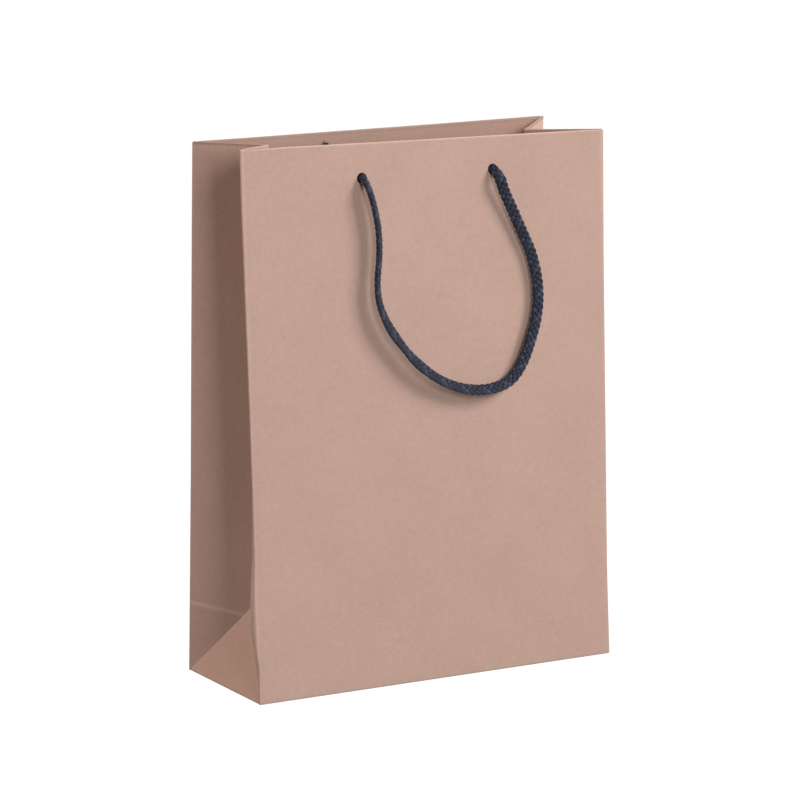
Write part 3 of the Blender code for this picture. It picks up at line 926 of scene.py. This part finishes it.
def gusset_face(side, end, shares, heights):
    """Outer face of a gusset half: points, outward normals and distance along the paper.

    Columns are shares of the way to the middle crease, and rows are heights up the wall."""
    angle = fold_angle(heights)
    half = (HALF_DEPTH - heights * math.sin(LEAN)) / math.cos(LEAN)
    radius = corner_radius(side, end, heights)
    start = corner_start(angle, radius)
    first_depth = radius * (1 + np.sin(angle))
    first_inset = start - radius * np.cos(angle)
    crease_depth = half - CREASE_RADIUS * np.sin(angle)
    run = (crease_depth - first_depth) / np.cos(angle)
    flat = np.minimum(shares, 1.0) * run
    bulge = GUSSET_BULGE * np.sin(np.clip(shares, 0, 1) * math.pi)
    bulge = bulge * smoothstep(0.03, 0.09, heights) * (1 - 0.6 * smoothstep(0.15, 0.24, heights))
    bow = edge_bow(side, end, heights) * (1 - np.clip(shares, 0, 1))
    inset = first_inset + flat * np.sin(angle) - bulge * np.cos(angle) + bow
    depth = first_depth + flat * np.cos(angle) + bulge * np.sin(angle)
    # Beyond share 1 the sheet rolls through half of the middle crease
    turn = angle * (1 - np.clip(shares - 1.0, 0, 1))
    roll_inset = CREASE_RADIUS * (np.cos(turn) - np.cos(angle))
    roll_depth = CREASE_RADIUS * (np.sin(angle) - np.sin(turn))
    inset = inset + np.where(shares > 1, roll_inset, 0.0)
    depth = depth + np.where(shares > 1, roll_depth, 0.0)
    along = flat + CREASE_RADIUS * (angle - turn) + radius * (1 + angle)
    face = wall(side, end * (WIDTH / 2 - inset), depth, heights)
    return face, grid_normals(face, np.array([end, 0.0, 0.0])), along


# Each rear half goes on past the middle crease as a narrow lap inside the front half
LAP_WIDTH = 0.0013
HEM_LAP_WIDTH = 0.0020
LAP_GAP = 0.00012
LAP_THICKNESS = 0.00020
LAP_TURN = 0.22
LAP_SHARES = (0.35, 0.7, 1.0)
CREASE_COLUMNS = 3
GUSSET_SHARES = np.concatenate([np.linspace(0, 1, 17), 1 + np.linspace(0, 1, 4)[1:]])
GUSSET_HEM_SHARES = np.concatenate([np.linspace(0.04, 1, 15), [1.33, 1.66, 2.0]])


def add_lap(surface, end, face, normals, depth, width, heights):
    """The lap that goes on from a rear half's middle crease, inside the front half."""
    normals = normals[:, -CREASE_COLUMNS:]
    crest = face[:, -CREASE_COLUMNS:] - normals * depth
    onward = unit(np.array([-LAP_TURN * end, -1.0, 0.0]))
    lap = np.stack([crest[:, -1] + onward * width * share for share in LAP_SHARES], axis=1)
    lap = np.concatenate([crest, lap], axis=1)
    lap_normals = np.concatenate([normals, np.repeat(normals[:, -1:], len(LAP_SHARES), axis=1)],
                                 axis=1)
    lap_along = np.arange(lap.shape[1]) * width / 3 + 0.012
    add_sheet(surface, lap, lap_normals, LAP_THICKNESS, flat_uvs(lap_along, heights))


def make_gusset_half(side, end, paper, inner_paper):
    body = f"{END_NAMES[end]}_{'front' if side == FRONT else 'rear'}_gusset"
    top = HEIGHT - GUSSET_TOP_RADIUS
    # The diagonal crease, where this half meets the lower triangle's plane
    run = FLAT_HALF * np.clip(GUSSET_SHARES, 0, 1)
    foot_angle = math.radians(GUSSET_DEGREES[1])
    lowest = run * math.sin(foot_angle) / math.tan(TRIANGLE_LEAN) + DIAGONAL_GAP
    steps = np.concatenate([np.linspace(0, 0.30, 16), np.linspace(0.30, 1.0, 22)[1:]])
    heights = lowest + steps[:, None] * (top - lowest)
    face, normals, along = gusset_face(side, end, GUSSET_SHARES, heights)
    roll = np.radians([22, 45, 67, 90])
    top_rows, top_normals = folded_top(face, normals, GUSSET_TOP_RADIUS, roll)
    v = np.concatenate([heights, np.repeat(heights[-1:], len(roll), axis=0)
                        + (GUSSET_TOP_RADIUS * roll)[:, None]])
    u = np.concatenate([along, np.repeat(along[-1:], len(roll), axis=0)])
    surface = Surface()
    add_sheet(surface, np.concatenate([face, top_rows]), np.concatenate([normals, top_normals]),
              PAPER, np.stack([u, v], axis=-1))
    if side == BACK:
        below = heights[:, -1] < HEIGHT - HEM_HEIGHT - 0.001
        add_lap(surface, end, face[below], normals[below], PAPER + LAP_GAP, LAP_WIDTH,
                heights[below][:, -1])
    piece = finish_mesh(f"{body}_paper", surface.mesh(f"{body}_paper"), paper)
    stands_for(body)

    heights = np.concatenate([np.linspace(HEIGHT - HEM_HEIGHT, HEIGHT - 0.002, 14),
                              [top - 0.0004, top]])
    face, normals, along = gusset_face(side, end, GUSSET_HEM_SHARES, heights[:, None])
    roll = np.radians([90, 112, 135, 157, 180])
    outer, all_normals, uvs = hem_sheet(face, normals, along, heights, GUSSET_TOP_RADIUS, roll)
    surface = Surface()
    add_sheet(surface, outer, all_normals, PAPER, uvs)
    if side == BACK:
        # The hem's lap hangs a little below the hem, so that it covers the end of the lower one
        heights = np.concatenate([HEIGHT - HEM_HEIGHT - np.array([0.0100, 0.0050]),
                                  heights[:-2]])
        face, normals, _ = gusset_face(side, end, GUSSET_HEM_SHARES, heights[:, None])
        add_lap(surface, end, face, normals, 2 * GUSSET_TOP_RADIUS + LAP_GAP, HEM_LAP_WIDTH,
                heights)
    hem = finish_mesh(f"{body}_hem_paper", surface.mesh(f"{body}_hem_paper"), inner_paper)
    stands_for(f"{body}_hem")

    for obj in (piece, hem):
        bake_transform(obj)


def make_triangle(end, paper):
    """The lower triangle of one side, rolled in under the bag along its bottom crease."""
    body = f"{END_NAMES[end]}_bottom_gusset"
    sin, cos = math.sin(TRIANGLE_LEAN), math.cos(TRIANGLE_LEAN)
    tip = TRIANGLE_HALF + TRIANGLE_TUCK
    ups = np.concatenate([[0.0006, 0.0012], np.linspace(0.003, tip - 0.0005, 18)])
    rows = []
    flat = []
    for up in ups:
        across = np.linspace(-1, 1, 25) * min(TRIANGLE_HALF, tip - up)
        inner = np.clip(1 - (np.abs(across) + up) / TRIANGLE_HALF, 0, 1)
        crown = TRIANGLE_CROWN * inner ** 0.8 * smoothstep(0.0, 0.012, up)
        inset = up * sin - crown * cos
        z = GAP + up * cos + crown * sin
        rows.append(np.stack([end * (WIDTH / 2 - inset), across, z], axis=-1))
        flat.append(np.stack([across, np.full_like(across, up)], axis=-1))
    face = np.array(rows)
    flat = np.array(flat)
    normals = grid_normals(face, np.array([end, 0.0, 0.0]))
    roll = np.radians([95, 75, 50, 25])
    low_rows, low_normals = rolled_edge(face[0], np.array([end * cos, 0.0, sin]),
                                        np.array([end * sin, 0.0, -cos]), BOTTOM_RADIUS, roll)
    lift = max(0.0, 0.00005 - float(low_rows[..., 2].min()))
    outer = np.concatenate([low_rows, face]) + np.array([0.0, 0.0, lift])
    all_normals = np.concatenate([low_normals, normals])
    low_uv = np.repeat(flat[:1], len(roll), axis=0)
    low_uv[..., 1] -= (BOTTOM_RADIUS * roll)[:, None]
    piece = paper_piece(f"{body}_paper", outer, all_normals, PAPER,
                        np.concatenate([low_uv, flat]), paper)
    stands_for(body)
    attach(piece, body)


def make_seam(paper):
    """The tube's glue flap on the back panel's inner face."""
    low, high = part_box("side_seam_flap")
    heights = np.linspace(low.z, HEIGHT - HEM_HEIGHT - 0.001, 30)[:, None]
    x = np.linspace(low.x, high.x, 8)
    face = wall(BACK, x, panel_swell(BACK, x, heights) + SEAM_DEPTH, heights)
    flap = paper_piece("seam_flap_paper", face, grid_normals(face, np.array([0.0, 1.0, 0.0])),
                       PAPER, flat_uvs(x, heights[:, 0]), paper)
    stands_for("side_seam_flap")
    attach(flap, "back_wall")


# ------------------------ studio

FLOOR_REACH = 14.0
WORLD_LEVEL = 0.045
LIGHT_AIM = Vector((0.0, 0.0, 0.12))
# Name, azimuth, elevation, distance, (width, height), radiance, colour
SOFTBOXES = [
    ("key_softbox", 45, 36, 2.8, (1.08, 1.08), 17.3, (1.0, 1.0, 1.0)),
    ("front_strip", -8, 18, 2.7, (0.54, 1.17), 17.6, (1.0, 1.0, 1.0)),
    ("left_card", -124, 50, 1.6, (1.3, 1.1), 5.1, (1.0, 0.88, 0.79)),
    ("right_card", 108, 32, 2.0, (1.2, 1.0), 6.0, (1.0, 0.99, 0.98)),
]


def floor_plane(name, drop, albedo, glow):
    bm = bmesh.new()
    bmesh.ops.create_grid(bm, x_segments=2, y_segments=2, size=FLOOR_REACH)
    mesh = bpy.data.meshes.new(name)
    bm.to_mesh(mesh)
    bm.free()
    floor = add_object(name, mesh)
    floor.location = (0.0, 0.0, -drop)
    surface = bpy.data.materials.new(name)
    surface.use_nodes = True
    put(surface.node_tree.nodes["Principled BSDF"], Base_Color=(albedo, albedo, albedo, 1.0),
        Roughness=0.9, Specular_IOR_Level=0.0, Emission_Color=(1.0, 1.0, 1.0, 1.0),
        Emission_Strength=glow)
    mesh.materials.append(surface)
    return floor


def softbox(name, azimuth, elevation, distance, size, radiance, colour):
    """An area light of a given width and height, as bright as radiance says at its face."""
    data = bpy.data.lights.new(name, "AREA")
    data.shape = "RECTANGLE"
    data.size, data.size_y = size
    data.energy = radiance * math.pi * size[0] * size[1]
    data.color = colour
    stand_off(add_object(name, data), LIGHT_AIM, azimuth, elevation, distance)


def make_studio():
    """A pale sweep that the object stands on, and softboxes round it."""
    scene = bpy.context.scene
    shown = floor_plane("studio_floor", 0.0001, 0.06, 1.0)
    shown.visible_diffuse = False
    shown.visible_shadow = False
    under = floor_plane("studio_floor_bounce", 0.0010, 0.14, 0.0)
    under.visible_camera = False

    world = bpy.data.worlds.new("studio")
    world.use_nodes = True
    put(world.node_tree.nodes["Background"], Color=(1.0, 1.0, 1.0, 1.0), Strength=WORLD_LEVEL)
    scene.world = world

    for light in SOFTBOXES:
        softbox(*light)
    scene.view_settings.view_transform = "Standard"
    scene.view_settings.look = "None"


# ------------------------ assembly

make_camera()
navy = rope_material()
for handle_side in (FRONT, BACK):
    rope, rope_line = make_rope(handle_side, navy)
    knots = [make_knot(handle_side, knot_end, navy) for knot_end in (LEFT, RIGHT)]

# Worn creases a*u + b*v = c of each flat sheet: a, b, c, width, strength
panel_lines = [(1, 0, WIDTH / 2, 0.0012, 0.30), (-1, 0, WIDTH / 2, 0.0012, 0.30),
               (0, 1, HEIGHT, 0.0010, 0.15), (0, 1, 0.0, 0.0012, 0.25)]
hem_lines = [(0, 1, HEIGHT, 0.0010, 0.1)]
back_lines = panel_lines + [(0, 1, CREASE_HEIGHT, 0.0014, 0.35)]
front_kraft = kraft_material("kraft_front", panel_lines)
# The rim values below 1 paint shade along the folded top edges of the back wall, the hems and the
# rear gusset halves.
back_kraft = kraft_material("kraft_back", back_lines, rim_shade=0.80)
# The darker hem paper is painted shade for the hems inside the bag; the full-tone copy is painted
# light for the left front and right rear gusset hems, which catch the light at the mouth.
shaded_hem_paper = kraft_material("kraft_hem_shaded", hem_lines, shade_tint=0.82, rim_shade=0.80)
lit_gusset_hem = kraft_material("kraft_gusset_hem_lit", hem_lines, rim_shade=0.90)
gusset_hems = {(FRONT, LEFT): lit_gusset_hem, (BACK, LEFT): shaded_hem_paper,
               (FRONT, RIGHT): shaded_hem_paper, (BACK, RIGHT): lit_gusset_hem}
diagonal = math.sqrt(0.5)
gusset_lines = [(1, 0, 0.0, 0.0015, 0.25), (diagonal, -diagonal, 0.0, 0.0018, 0.15)]
front_gusset_kraft = kraft_material("kraft_front_gusset", gusset_lines)
rear_gusset_kraft = kraft_material("kraft_rear_gusset", gusset_lines + [
    (0, 1, CREASE_HEIGHT, 0.0016, 0.85)], rim_shade=0.66)
triangle_edge = TRIANGLE_HALF * diagonal
triangle_kraft = kraft_material("kraft_triangle", [
    (diagonal, diagonal, triangle_edge, 0.0018, 0.16),
    (-diagonal, diagonal, triangle_edge, 0.0018, 0.16), (0, 1, 0.0, 0.0010, 0.3)])
plain_kraft = kraft_material("kraft_plain")
base_kraft = kraft_material("kraft_base", on_object=True)
grey_card = card_material("grey_card")
base_card = card_material("grey_board", on_object=True)

make_wall(FRONT, front_kraft, shaded_hem_paper, grey_card)
make_wall(BACK, back_kraft, shaded_hem_paper, grey_card)
for gusset_end in (LEFT, RIGHT):
    make_gusset_half(FRONT, gusset_end, front_gusset_kraft, gusset_hems[FRONT, gusset_end])
    make_gusset_half(BACK, gusset_end, rear_gusset_kraft, gusset_hems[BACK, gusset_end])
    make_triangle(gusset_end, triangle_kraft)
make_seam(plain_kraft)

base_looks = {f"bottom_{edge}_flap": base_kraft for edge in ("front", "back", "left", "right")}
base_looks["bottom_board"] = base_card
for name, looks in base_looks.items():
    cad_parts[name].data.materials.clear()
    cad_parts[name].data.materials.append(looks)

make_studio()
